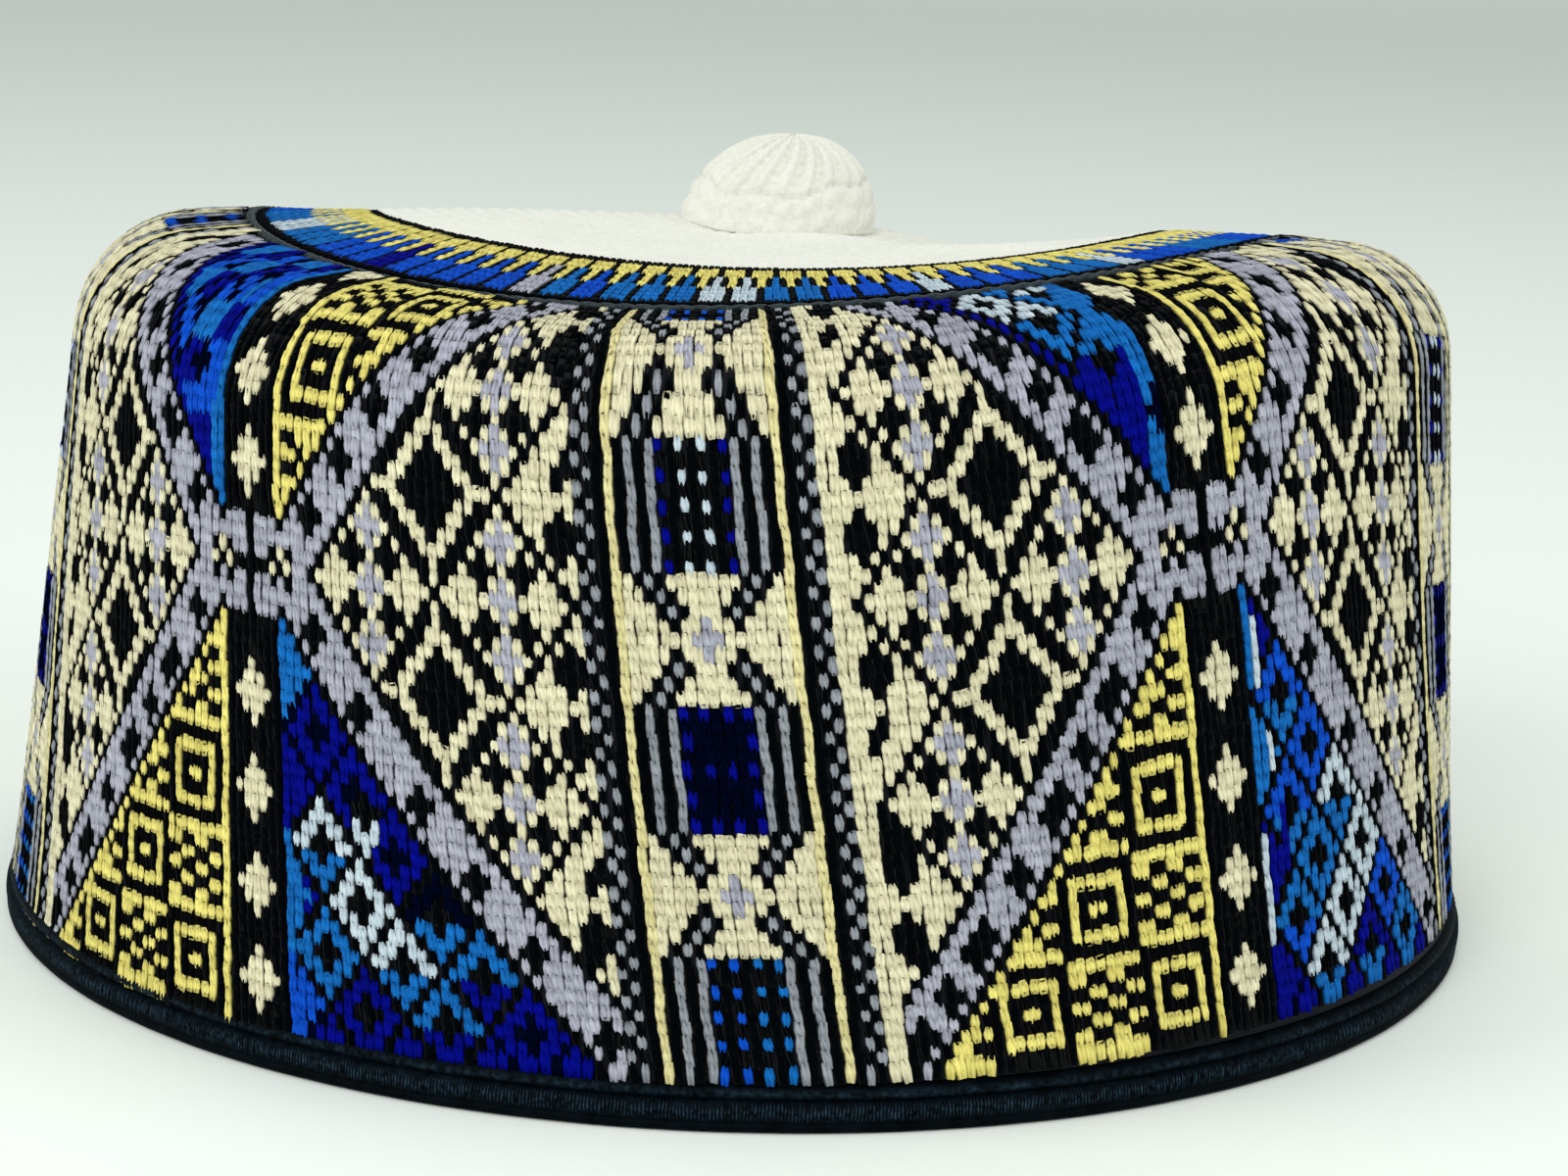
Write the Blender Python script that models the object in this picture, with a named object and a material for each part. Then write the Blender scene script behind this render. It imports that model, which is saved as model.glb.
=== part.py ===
"""A round hausa cap of stiff embroidered cloth, standing on its rim, open underneath.

The front of the cap faces -Y, +Z is up, and the origin is the middle of the rim on the
surface that the cap stands on. All sizes are in metres.
"""
import bpy
import bmesh
import math

# Driving sizes
RIM_RADIUS = 0.0920          # outer edge of the rim, 578 mm round
WALL_RADIUS = 0.09137        # where the wall's line meets the standing surface
WALL_LEAN_IN = 0.0926        # the wall loses this much radius per unit of height
SHOULDER_RADIUS = 0.0138     # round turn from the wall to the top
TOP_RISE_DEG = 4.0           # slope of the top between the shoulder and the cord
CORD_RING_RADIUS = 0.0639    # ring on the top where the wall cloth ends
CROWN_RADIUS = 0.0486        # edge of the white centre
SIDEWAYS_LEAN = 0.0189       # the soft cap leans to its right side by this much per height
WALL_CLOTH = 0.0026          # several layers of cotton with dense stitching
TOP_CLOTH = 0.0024
RIM_HEIGHT = 0.0052          # height of the bound hem
RIM_CLOTH = 0.0032           # thickness of the folded hem
RIM_GIRTH = 0.0005           # the hem stands out from the wall by this much
CORD_THICKNESS = 0.0012
CORD_LEDGE = 0.0012          # the wall cloth steps down by this much under the cord
BACK_FALL = 0.0030           # the top drops by this much behind the sides
GAP = 0.0003                 # clearance between neighbouring pieces
CROWN_MIDDLE_Z = 0.0856      # height of the white centre in its middle
KNOT_RADIUS = 0.0120
KNOT_HEIGHT = 0.0117
KNOT_SHIFT = 0.0009          # the knot sits a little to the right of the middle
KNOT_LEAN = 0.0016           # its top leans further right
SIDES = 80                   # flats round the cap

CORD_ROOM = CORD_THICKNESS / 2 + GAP    # from the middle of the cord to its neighbours
LEDGE_REACH = CORD_ROOM - GAP           # the ledge stops one gap short of the top band
ALPHA = math.atan(WALL_LEAN_IN)
BETA = math.radians(TOP_RISE_DEG)


def back_fall(turn):
    """Drop of the soft top behind the sides, nothing in front."""
    behind = -math.cos(turn)
    behind = 0.5 * (behind + math.sqrt(behind * behind + 0.01))
    return BACK_FALL * math.tanh(2.2 * behind)


def seam_height(turn):
    """Height of the cord ring: high at both sides, lower in front, lowest at the back."""
    return (0.08331 + 0.00363 * math.cos(turn) - 0.00306 * math.cos(2 * turn)
            + 0.00079 * math.sin(turn) + 0.00170 * math.sin(2 * turn) - back_fall(turn))


def band_rise(turn):
    """How far the narrow top band climbs from the cord to the white centre."""
    return (0.00078 + 0.00095 * math.cos(turn) + 0.00049 * math.cos(2 * turn)
            - 0.00170 * math.sin(2 * turn))


def wall_line_top(turn):
    """Height where the straight wall ends, so that the shoulder meets the cord ring."""
    fixed = SHOULDER_RADIUS * (math.cos(BETA) - math.sin(ALPHA))
    flat = WALL_RADIUS - SHOULDER_RADIUS * (math.cos(ALPHA) - math.sin(BETA)) - CORD_RING_RADIUS
    return (seam_height(turn) - fixed - flat * math.tan(BETA)) / (1 - WALL_LEAN_IN * math.tan(BETA))


def hem_swell(z):
    """The wall flares slightly close to the rim."""
    return 0.0006 * math.exp(-z / 0.010)


def outer_profile(turn, z_start, end_radius):
    """Outside of the wall from z_start up and over the shoulder, as (radius, z, slope)."""
    z1 = wall_line_top(turn)
    r1 = WALL_RADIUS - WALL_LEAN_IN * z1
    rows = []
    for i in range(6):
        z = z_start + (z1 - z_start) * i / 5
        rows.append((WALL_RADIUS - WALL_LEAN_IN * z + hem_swell(z), z, ALPHA))
    centre_r = r1 - SHOULDER_RADIUS * math.cos(ALPHA)
    centre_z = z1 - SHOULDER_RADIUS * math.sin(ALPHA)
    turn_total = math.pi / 2 - ALPHA - BETA
    for i in range(1, 9):
        a = ALPHA + turn_total * i / 8
        rows.append((centre_r + SHOULDER_RADIUS * math.cos(a),
                     centre_z + SHOULDER_RADIUS * math.sin(a), a))
    r2, z2, a2 = rows[-1]
    rows.append((end_radius, z2 + (r2 - end_radius) * math.tan(BETA), a2))
    return rows


def inner_profile(rows, cloth):
    """The inside of the cloth, one thickness in from the outside and square to it."""
    return [(r - cloth * math.cos(a), z - cloth * math.sin(a)) for r, z, a in rows]


def place(turn, radius, z):
    """A point of the cap: turn 0 is the front, positive turns towards +X."""
    x = radius * math.sin(turn) + SIDEWAYS_LEAN * z
    y = -radius * math.cos(turn)
    return (x, y, z)


def ring_object(name, section, colour, roughness, sides=SIDES, smooth_deg=40):
    """Skin the closed outline section(turn) round the cap into one hollow ring."""
    bm = bmesh.new()
    rings = []
    for k in range(sides):
        turn = 2 * math.pi * k / sides
        rings.append([bm.verts.new(place(turn, r, z)) for r, z in section(turn)])
    count = len(rings[0])
    for k in range(sides):
        here = rings[k]
        there = rings[(k + 1) % sides]
        for i in range(count):
            j = (i + 1) % count
            bm.faces.new((here[i], there[i], there[j], here[j]))
    return finish(name, bm, colour, roughness, smooth_deg)


def disc_object(name, top_rows, bottom_rows, colour, roughness, sides, place_point, smooth_deg=40):
    """Skin a round body with a closed middle above and below."""
    bm = bmesh.new()
    top_pole = bm.verts.new(place_point(0.0, 0.0, True))
    low_pole = bm.verts.new(place_point(0.0, 0.0, False))
    levels = [(q, True) for q in top_rows] + [(q, False) for q in bottom_rows]
    rings = []
    for q, upper in levels:
        ring = []
        for k in range(sides):
            ring.append(bm.verts.new(place_point(2 * math.pi * k / sides, q, upper)))
        rings.append(ring)
    for k in range(sides):
        m = (k + 1) % sides
        bm.faces.new((top_pole, rings[0][k], rings[0][m]))
        bm.faces.new((low_pole, rings[-1][m], rings[-1][k]))
        for a in range(len(rings) - 1):
            bm.faces.new((rings[a][k], rings[a + 1][k], rings[a + 1][m], rings[a][m]))
    return finish(name, bm, colour, roughness, smooth_deg)


def finish(name, bm, colour, roughness, smooth_deg):
    """Turn a bmesh into a named object with its own material and outward faces."""
    bmesh.ops.recalc_face_normals(bm, faces=bm.faces[:])
    mesh = bpy.data.meshes.new(name)
    bm.to_mesh(mesh)
    bm.free()
    mesh.shade_smooth()
    mesh.set_sharp_from_angle(angle=math.radians(smooth_deg))
    obj = bpy.data.objects.new(name, mesh)
    bpy.context.scene.collection.objects.link(obj)
    material = bpy.data.materials.new(name)
    material.use_nodes = True
    shader = material.node_tree.nodes["Principled BSDF"]
    shader.inputs["Base Color"].default_value = (*colour, 1.0)
    shader.inputs["Roughness"].default_value = roughness
    shader.inputs["Metallic"].default_value = 0.0
    mesh.materials.append(material)
    return obj


def wall_section(turn):
    """Embroidered cloth: the wall, the shoulder and the top, with a ledge for the cord."""
    rows = outer_profile(turn, RIM_HEIGHT + GAP, CORD_RING_RADIUS + CORD_ROOM)
    outside = [(r, z) for r, z, a in rows]
    edge_z = outside[-1][1]
    inside = inner_profile(rows, WALL_CLOTH)
    inside[-1] = (CORD_RING_RADIUS - LEDGE_REACH, edge_z - WALL_CLOTH)
    inside[0] = (inside[0][0], RIM_HEIGHT + GAP)
    ledge = [(CORD_RING_RADIUS + CORD_ROOM, edge_z - CORD_LEDGE),
             (CORD_RING_RADIUS - LEDGE_REACH, edge_z - CORD_LEDGE)]
    return outside + ledge + inside[::-1]


def rim_section(turn):
    """The bound hem: a folded strip with a flat foot and a rounded outer edge."""
    foot_out = RIM_RADIUS
    foot_in = foot_out - RIM_CLOTH
    top_out = WALL_RADIUS - WALL_LEAN_IN * RIM_HEIGHT + hem_swell(RIM_HEIGHT)
    top_in = top_out - WALL_CLOTH - 0.0002
    return [(foot_in, 0.0), (foot_out - 0.0006, 0.0), (foot_out, 0.0006),
            (foot_out + 0.0001, 0.0020), (top_out + RIM_GIRTH, RIM_HEIGHT - 0.0008),
            (top_out + 0.0001, RIM_HEIGHT), (top_in, RIM_HEIGHT), (foot_in - 0.0001, 0.0020)]


def cord_section(turn):
    """A couched cord lying on the ledge, between the wall cloth and the top band."""
    half = CORD_THICKNESS / 2
    z = seam_height(turn) - CORD_LEDGE + half + GAP
    points = []
    for i in range(7):
        a = 2 * math.pi * i / 7 - math.pi / 2
        points.append((CORD_RING_RADIUS + half * math.cos(a), z + half * math.sin(a)))
    return points


def band_height(turn, radius):
    """Height of the top band's upper face at a radius."""
    part = (CORD_RING_RADIUS - radius) / (CORD_RING_RADIUS - CROWN_RADIUS)
    return seam_height(turn) + band_rise(turn) * part


def band_section(turn):
    """The narrow embroidered band between the cord and the white centre."""
    radii = [CORD_RING_RADIUS - CORD_ROOM]
    radii.append((CORD_RING_RADIUS + CROWN_RADIUS) / 2)
    radii.append(CROWN_RADIUS + GAP / 2)
    upper = [(r, band_height(turn, r)) for r in radii]
    lower = [(r, z - TOP_CLOTH) for r, z in upper]
    return upper + lower[::-1]


def crown_height(turn, radius):
    """Upper face of the white centre: nearly flat, falling away to the back."""
    edge = band_height(turn, CROWN_RADIUS)
    return CROWN_MIDDLE_Z + (edge - CROWN_MIDDLE_Z) * (radius / CROWN_RADIUS) ** 2


def crown_point(turn, radius, upper):
    """Upper or lower face of the white centre."""
    z = crown_height(turn, radius)
    if not upper:
        z -= TOP_CLOTH
    return place(turn, radius, z)


KNOT_OUTLINE = (
    # share of the knot's radius, share of its height
    (0.30, 0.98),
    (0.60, 0.86),
    (0.84, 0.63),
    (0.97, 0.38),
    (1.00, 0.18),
    (0.94, 0.00),
)


def knot_point(turn, level, upper):
    """A soft half ball of crochet that leans a little to the right."""
    if level == 0.0:
        share_r, share_z = (0.0, 1.0) if upper else (0.0, 0.0)
    elif upper:
        share_r, share_z = KNOT_OUTLINE[int(level) - 1]
    else:
        share_r, share_z = 0.50, 0.0
    x_off = KNOT_SHIFT + KNOT_LEAN * share_z
    x = KNOT_RADIUS * share_r * math.sin(turn) + x_off
    y = -KNOT_RADIUS * share_r * math.cos(turn)
    seat = crown_height(math.atan2(x, -y), math.hypot(x, y)) + GAP
    z = seat * (1 - share_z) + (CROWN_MIDDLE_Z + GAP) * share_z + KNOT_HEIGHT * share_z
    return (x + SIDEWAYS_LEAN * CROWN_MIDDLE_Z, y, z)


def main():
    """Clear the scene and make the six pieces of the cap."""
    for obj in list(bpy.data.objects):
        bpy.data.objects.remove(obj, do_unlink=True)
    ring_object("side_wall", wall_section, (0.030, 0.034, 0.060), 0.85)
    ring_object("rim_binding", rim_section, (0.012, 0.022, 0.030), 0.80)
    ring_object("crown_cord", cord_section, (0.010, 0.012, 0.018), 0.75, smooth_deg=80)
    ring_object("top_band", band_section, (0.030, 0.110, 0.420), 0.85)
    edge = CROWN_RADIUS - GAP / 2
    tops = [edge * share for share in (0.25, 0.5, 0.75, 1.0)]
    disc_object("crown_centre", tops, tops[::-1], (0.88, 0.88, 0.85), 0.90, SIDES, crown_point)
    levels = [float(i + 1) for i in range(len(KNOT_OUTLINE))]
    disc_object("top_knot", levels, [1.0], (0.90, 0.90, 0.87), 0.90, 32, knot_point, smooth_deg=60)


main()
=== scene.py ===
# %% [markdown]
# # A hand-embroidered hausa cap
# This lesson dresses a plain model of a round cap in its real cloth. The real cap is a
# tall, stiff wall of cotton that is covered all over with small upright stitches in black,
# cream, grey, yellow and blue thread. A cord is couched where the wall meets the top, and a
# narrow band, a white crochet centre and a small crochet knot close the cap above.
# We load the plain model first, because every piece has to sit where it says.

# %% Load the plain model
import math

import bpy
import numpy as np
from mathutils import Matrix, Vector


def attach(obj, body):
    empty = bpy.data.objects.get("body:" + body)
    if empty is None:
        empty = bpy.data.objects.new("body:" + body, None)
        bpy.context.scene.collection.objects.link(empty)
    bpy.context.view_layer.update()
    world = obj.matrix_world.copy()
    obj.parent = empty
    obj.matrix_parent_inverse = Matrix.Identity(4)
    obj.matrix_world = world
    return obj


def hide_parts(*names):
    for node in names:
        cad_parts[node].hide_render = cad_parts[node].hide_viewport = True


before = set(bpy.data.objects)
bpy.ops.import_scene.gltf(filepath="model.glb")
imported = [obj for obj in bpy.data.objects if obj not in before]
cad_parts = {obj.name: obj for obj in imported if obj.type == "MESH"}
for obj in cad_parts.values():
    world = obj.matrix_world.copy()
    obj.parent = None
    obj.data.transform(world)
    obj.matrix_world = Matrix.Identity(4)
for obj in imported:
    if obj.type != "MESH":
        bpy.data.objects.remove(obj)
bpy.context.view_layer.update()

# %% [markdown]
# The cap's own form is a wall that leans in a little, a round shoulder and a nearly flat
# top. Its top edge waves: it is high in front and at the sides, and low at the back. We
# write that form once as a surface of two parameters, the turn round the cap and the
# distance along the cloth from the rim, because cloth, stitches and seams all lie on it.

# %% Sizes of the cap
RIM_RADIUS = 0.0920
WALL_RADIUS = 0.09137
WALL_LEAN_IN = 0.0926
SHOULDER_RADIUS = 0.0138
TOP_RISE = math.radians(4.0)
CORD_RING_RADIUS = 0.0639
CROWN_RADIUS = 0.0486
SIDEWAYS_LEAN = 0.0189
WALL_CLOTH = 0.0026
TOP_CLOTH = 0.0024
RIM_HEIGHT = 0.0052
CORD_THICKNESS = 0.0012
CORD_LEDGE = 0.0012
GAP = 0.0003
CORD_ROOM = CORD_THICKNESS / 2 + GAP
BACK_FALL = 0.0030
RIGHT_SAG = 0.0013
RIGHT_SAG_TURN = math.radians(105.0)
RIGHT_SAG_SPREAD = 0.52
CROWN_MIDDLE_Z = 0.0856
CROWN_PRESSED = 0.0022
CROWN_RAISED = 0.0006
KNOT_RADIUS = 0.0120
KNOT_HEIGHT = 0.0117
KNOT_SHIFT = 0.0009
KNOT_LEAN = 0.0016
LEAN_ANGLE = math.atan(WALL_LEAN_IN)
# Mean, then the share of cos(turn), cos(2 turn), sin(turn) and sin(2 turn), in metres.
SEAM_WAVES = (0.08331, 0.00363, -0.00306, 0.00079, 0.00170)
BAND_WAVES = (0.00078, 0.00095, 0.00049, 0.0, -0.00170)


def waves(turn, shares):
    """A height that waves once and twice round the cap."""
    mean, cos_1, cos_2, sin_1, sin_2 = shares
    return (mean + cos_1 * np.cos(turn) + cos_2 * np.cos(2 * turn)
            + sin_1 * np.sin(turn) + sin_2 * np.sin(2 * turn))


def bell(value, middle, spread):
    """exp(-((value - middle) / spread)^2): 1 at the middle and near 0 two spreads away."""
    return np.exp(-((value - middle) / spread) ** 2)


def eased(value, start, length):
    """0 before start, 1 after start + length, and a smooth step between them."""
    t = np.clip((value - start) / length, 0.0, 1.0)
    return t * t * (3 - 2 * t)


def circle(count):
    """Even turns round the cap, as one row."""
    return np.linspace(0, 2 * math.pi, count, endpoint=False)[None, :]


def seam_height(turn):
    """Height of the cord ring: a constant and waves of the turn, less the fall of the soft
    top behind the sides, which is a tanh of how far the turn points backwards. The cloth
    also sags by about a millimetre behind the right shoulder."""
    behind = -np.cos(turn)
    behind = 0.5 * (behind + np.sqrt(behind * behind + 0.01))
    sag = RIGHT_SAG * bell(np.mod(turn, 2 * math.pi), RIGHT_SAG_TURN, RIGHT_SAG_SPREAD)
    return waves(turn, SEAM_WAVES) - BACK_FALL * np.tanh(2.2 * behind) - sag


def band_rise(turn):
    """How far the top band climbs from the cord to the white centre."""
    return waves(turn, BAND_WAVES)


def place(turn, radius, z):
    """Turn, radius and height to x, y, z. The whole cap leans a little to +X with height."""
    return np.stack([radius * np.sin(turn) + SIDEWAYS_LEAN * z, -radius * np.cos(turn),
                     z + 0.0 * turn], axis=-1)


# %% The cloth as a surface of turn and distance
RIM_FLARE = 0.0006
RIM_FLARE_HEIGHT = 0.010


def wall_parts(turn):
    """The middle of the shoulder arc, and the lengths of the straight wall and of the arc."""
    fixed = SHOULDER_RADIUS * (math.cos(TOP_RISE) - math.sin(LEAN_ANGLE))
    flat = (WALL_RADIUS - SHOULDER_RADIUS * (math.cos(LEAN_ANGLE) - math.sin(TOP_RISE))
            - CORD_RING_RADIUS)
    z1 = ((seam_height(turn) - fixed - flat * math.tan(TOP_RISE))
          / (1 - WALL_LEAN_IN * math.tan(TOP_RISE)))
    r1 = WALL_RADIUS - WALL_LEAN_IN * z1
    centre_r = r1 - SHOULDER_RADIUS * math.cos(LEAN_ANGLE)
    centre_z = z1 - SHOULDER_RADIUS * math.sin(LEAN_ANGLE)
    wall_length = z1 / math.cos(LEAN_ANGLE)
    arc_length = SHOULDER_RADIUS * (math.pi / 2 - LEAN_ANGLE - TOP_RISE)
    return centre_r, centre_z, wall_length, arc_length


def cloth_length(turn):
    """Distance along the cloth from the floor to the cord."""
    centre_r, _, wall_length, arc_length = wall_parts(turn)
    r2 = centre_r + SHOULDER_RADIUS * math.sin(TOP_RISE)
    return wall_length + arc_length + (r2 - CORD_RING_RADIUS) / math.cos(TOP_RISE)


def cloth_point(turn, s, lift=0.0):
    """A point of the cap's outside at distance s from the floor, raised by lift along the
    cloth's normal. Below the shoulder it is a straight line, then a circular arc about
    (centre_r, centre_z), then a straight line that climbs at TOP_RISE. The wall flares a
    little towards the rim."""
    centre_r, centre_z, wall_length, arc_length = wall_parts(turn)
    slope = LEAN_ANGLE + np.clip(s - wall_length, 0.0, arc_length) / SHOULDER_RADIUS
    z_wall = s * math.cos(LEAN_ANGLE)
    flare = RIM_FLARE * np.exp(-np.maximum(z_wall, 0) / RIM_FLARE_HEIGHT)
    r_wall = WALL_RADIUS - WALL_LEAN_IN * z_wall + flare
    r_arc = centre_r + SHOULDER_RADIUS * np.cos(slope)
    z_arc = centre_z + SHOULDER_RADIUS * np.sin(slope)
    past = np.maximum(s - wall_length - arc_length, 0.0)
    r_arc = r_arc - past * math.cos(TOP_RISE)
    z_arc = z_arc + past * math.sin(TOP_RISE)
    on_wall = s < wall_length
    r = np.where(on_wall, r_wall, r_arc) + lift * np.cos(slope)
    z = np.where(on_wall, z_wall, z_arc) + lift * np.sin(slope)
    return place(turn, r, z)


CREASE_DEPTH, CREASE_AT, CREASE_SPREAD = 0.00045, 0.0795, 0.0016
FOLD_RISE, FOLD_AT, FOLD_SPREAD = 0.00030, 0.0768, 0.0022


def softness(turn, s):
    """Small dents and swells of the soft cloth, as a lift in metres: slow swells round the
    wall, and one shallow crease with a fold below it across the front of the shoulder."""
    swells = (0.00022 * np.sin(3 * turn + 1.1) * np.sin(s / 0.019)
              + 0.00016 * np.sin(7 * turn + 0.4) * np.sin(s / 0.013 + 1.0))
    crease = FOLD_RISE * bell(s, FOLD_AT, FOLD_SPREAD) - CREASE_DEPTH * bell(s, CREASE_AT, CREASE_SPREAD)
    return swells + bell(np.degrees(turn), -1.0, 13.0) * crease


front = float(cloth_length(np.array(0.0)))
print("cloth from floor to cord in front: %.1f mm" % (front * 1000))

# %% [markdown]
# Every piece is made the same way: numpy works out all its points at once, and the points
# and faces go into a mesh in one step. A closed ring of cloth is a grid that wraps in both
# directions, so it has no open edge.

# %% Helpers that turn points into pieces
def new_piece(name, points, faces, material, slot, uv=None, shade=None):
    """A finished piece: points (n, 3), faces (m, 3 or 4), a material, and if given a UV map
    and a number per point called shade."""
    points = np.ascontiguousarray(points, dtype=np.float32).reshape(-1, 3)
    faces = np.ascontiguousarray(faces, dtype=np.int32)
    sides = faces.shape[1]
    mesh = bpy.data.meshes.new(name)
    mesh.vertices.add(len(points))
    mesh.vertices.foreach_set("co", points.ravel())
    mesh.loops.add(faces.size)
    mesh.loops.foreach_set("vertex_index", faces.ravel())
    mesh.polygons.add(len(faces))
    mesh.polygons.foreach_set("loop_start", np.arange(0, faces.size, sides, dtype=np.int32))
    mesh.update(calc_edges=True)
    mesh.validate()
    mesh.shade_smooth()
    if uv is not None:
        layer = mesh.uv_layers.new(name="thread")
        layer.data.foreach_set("uv", uv.reshape(-1, 2)[faces.ravel()].astype(np.float32).ravel())
    if shade is not None:
        mesh.attributes.new("shade", "FLOAT", "POINT").data.foreach_set(
            "value", np.ascontiguousarray(shade, dtype=np.float32).ravel())
    mesh.materials.append(material)
    piece = bpy.data.objects.new(name, mesh)
    bpy.context.scene.collection.objects.link(piece)
    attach(piece, "root")
    triangles = len(faces) * (sides - 2)
    print("%s: %d triangles" % (name, triangles))
    return piece


def grid_faces(rows, columns, wrap_rows, wrap_columns):
    """Quads of a grid of points, rows by columns, each direction closed or open."""
    i = np.arange(rows if wrap_rows else rows - 1)[:, None]
    j = np.arange(columns if wrap_columns else columns - 1)[None, :]
    i2, j2 = (i + 1) % rows, (j + 1) % columns
    quad = np.stack([i * columns + j, i * columns + j2, i2 * columns + j2, i2 * columns + j],
                    axis=-1)
    return quad.reshape(-1, 4)


# %% [markdown]
# Thread and cloth get their finish from shader nodes. Written as node calls that is long
# and hard to read, so a small class wraps a socket and lets us write plain sums instead.

# %% Shader maths as plain sums
class Value:
    """A number socket. Sums on it add Math nodes."""

    def __init__(self, finish, socket):
        self.finish, self.socket = finish, socket

    def math(self, operation, *others):
        return Value(self.finish, self.finish.node("ShaderNodeMath", {"operation": operation},
                                                   {i: v for i, v in enumerate((self,) + others)}))

    def __add__(self, other):
        return self.math("ADD", other)

    def __sub__(self, other):
        return self.math("SUBTRACT", other)

    def __mul__(self, other):
        return self.math("MULTIPLY", other)

    def __pow__(self, other):
        return self.math("POWER", other)

    def sine(self):
        return self.math("SINE")

    def absolute(self):
        return self.math("ABSOLUTE")

    def above_zero(self):
        return self.math("MAXIMUM", 0.0)


class Finish:
    """A material with a Principled shader, and helpers to add nodes to it."""

    def __init__(self, name, colour, roughness, specular):
        self.material = bpy.data.materials.new(name)
        self.material.use_nodes = True
        self.tree = self.material.node_tree
        self.shader = self.tree.nodes["Principled BSDF"]
        self.shader.inputs["Base Color"].default_value = (*colour, 1.0)
        self.shader.inputs["Roughness"].default_value = roughness
        self.shader.inputs["Specular IOR Level"].default_value = specular

    def node(self, kind, settings, inputs, output=0):
        """Add a node: settings first, then its inputs as values or links. Returns a socket."""
        made = self.tree.nodes.new(kind)
        for key, value in settings.items():
            setattr(made, key, value)
        for key, value in inputs.items():
            if isinstance(value, Value):
                value = value.socket
            if isinstance(value, bpy.types.NodeSocket):
                self.tree.links.new(value, made.inputs[key])
            else:
                made.inputs[key].default_value = value
        return made.outputs[output]

    def sheen(self, weight, roughness):
        """The pale bloom of fibres that are seen edge on."""
        self.shader.inputs["Sheen Weight"].default_value = weight
        self.shader.inputs["Sheen Roughness"].default_value = roughness

    def noise(self, scale, detail):
        """Noise over Object coordinates."""
        here = self.node("ShaderNodeTexCoord", {}, {}, 3)
        return Value(self, self.node("ShaderNodeTexNoise", {},
                                     {"Vector": here, "Scale": scale, "Detail": detail}))

    def uv(self):
        """Across and along the thread, as two numbers."""
        map_node = self.node("ShaderNodeUVMap", {"uv_map": "thread"}, {})
        split = self.tree.nodes.new("ShaderNodeSeparateXYZ")
        self.tree.links.new(map_node, split.inputs[0])
        return Value(self, split.outputs[0]), Value(self, split.outputs[1])

    def shade(self):
        """The number that each stitch carries."""
        return Value(self, self.node("ShaderNodeAttribute", {"attribute_name": "shade"}, {}, 2))

    def colour(self, factor, low, high):
        """Base colour that runs from low to high with the factor."""
        mixed = self.node("ShaderNodeMix", {"data_type": "RGBA"},
                          {0: factor, 6: (*low, 1.0), 7: (*high, 1.0)}, 2)
        self.tree.links.new(mixed, self.shader.inputs["Base Color"])

    def roughness(self, value):
        self.tree.links.new(value.socket, self.shader.inputs["Roughness"])

    def bump(self, height, distance, strength):
        normal = self.node("ShaderNodeBump", {},
                           {"Height": height, "Distance": distance, "Strength": strength})
        self.tree.links.new(normal, self.shader.inputs["Normal"])


def rgb(r, g, b):
    """A colour given as 0 to 255 screen values, turned into light values."""
    v = np.array([r, g, b]) / 255.0
    return tuple(float(x) for x in np.where(v <= 0.04045, v / 12.92, ((v + 0.055) / 1.055) ** 2.4))


def thread_finish(name, dark, light, shine, fuzz):
    """Cotton thread: each stitch has its own tone, darkened towards its flanks by painted shade from the
    shade number, and fine fibres run along it.
    """
    finish = Finish(name, light, 0.7, shine)
    finish.sheen(fuzz, 0.4)
    across, along = finish.uv()
    mottle = finish.noise(700.0, 3.0)
    slow = finish.noise(60.0, 2.0)
    streaks = (across * 17.0 + along * 3.0 + mottle * 5.0).sine() * 0.5 + 0.5
    finish.colour(finish.shade() * 0.80 + mottle * 0.60 + slow * 0.25 + streaks * 0.22 - 0.29,
                  dark, light)
    finish.bump(streaks * 0.7 + mottle * 0.7, 0.00008, 0.8)
    finish.roughness(mottle * 0.2 + 0.6)
    return finish.material


print("helpers are ready")

# %% [markdown]
# ## The embroidery chart
# The pattern is counted work: 490 stitches go round the cap and about 58 rows go up it. One
# motif, 98 stitches wide, repeats five times. It is worked out by rule from a few motifs,
# as an embroiderer counts it: stepped diagonals, diamonds, crosses, blocks and lozenges.
# The chart is a grid of thread numbers, so the rules are plain comparisons on columns and rows.

# %% Threads and repeat
BLACK, CREAM, GREY, YELLOW, ROYAL, SKY, WHITE, NAVY, BLUE, STRAW, ASH = range(11)
REPEATS = 5
REPEAT_COLUMNS = 98
ROWS = 62
MIDDLE_ROW = 33
FIRST_COLUMN = -51
PANEL_EDGE = -44


def stamp(chart, where, thread):
    """Lay a thread wherever the condition holds."""
    chart[where] = thread


def diamond(c, r, centre_c, centre_r):
    """Steps from a centre, counted across plus up: the distance that draws diamonds."""
    return np.abs(c - centre_c) + np.abs(r - centre_r)


# %% Motifs of the large lozenge field
def pairs(*table):
    """Column and row of every motif, from a column and its rows for each line of a table."""
    return tuple((column, row) for column, rows in table for row in rows)


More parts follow.
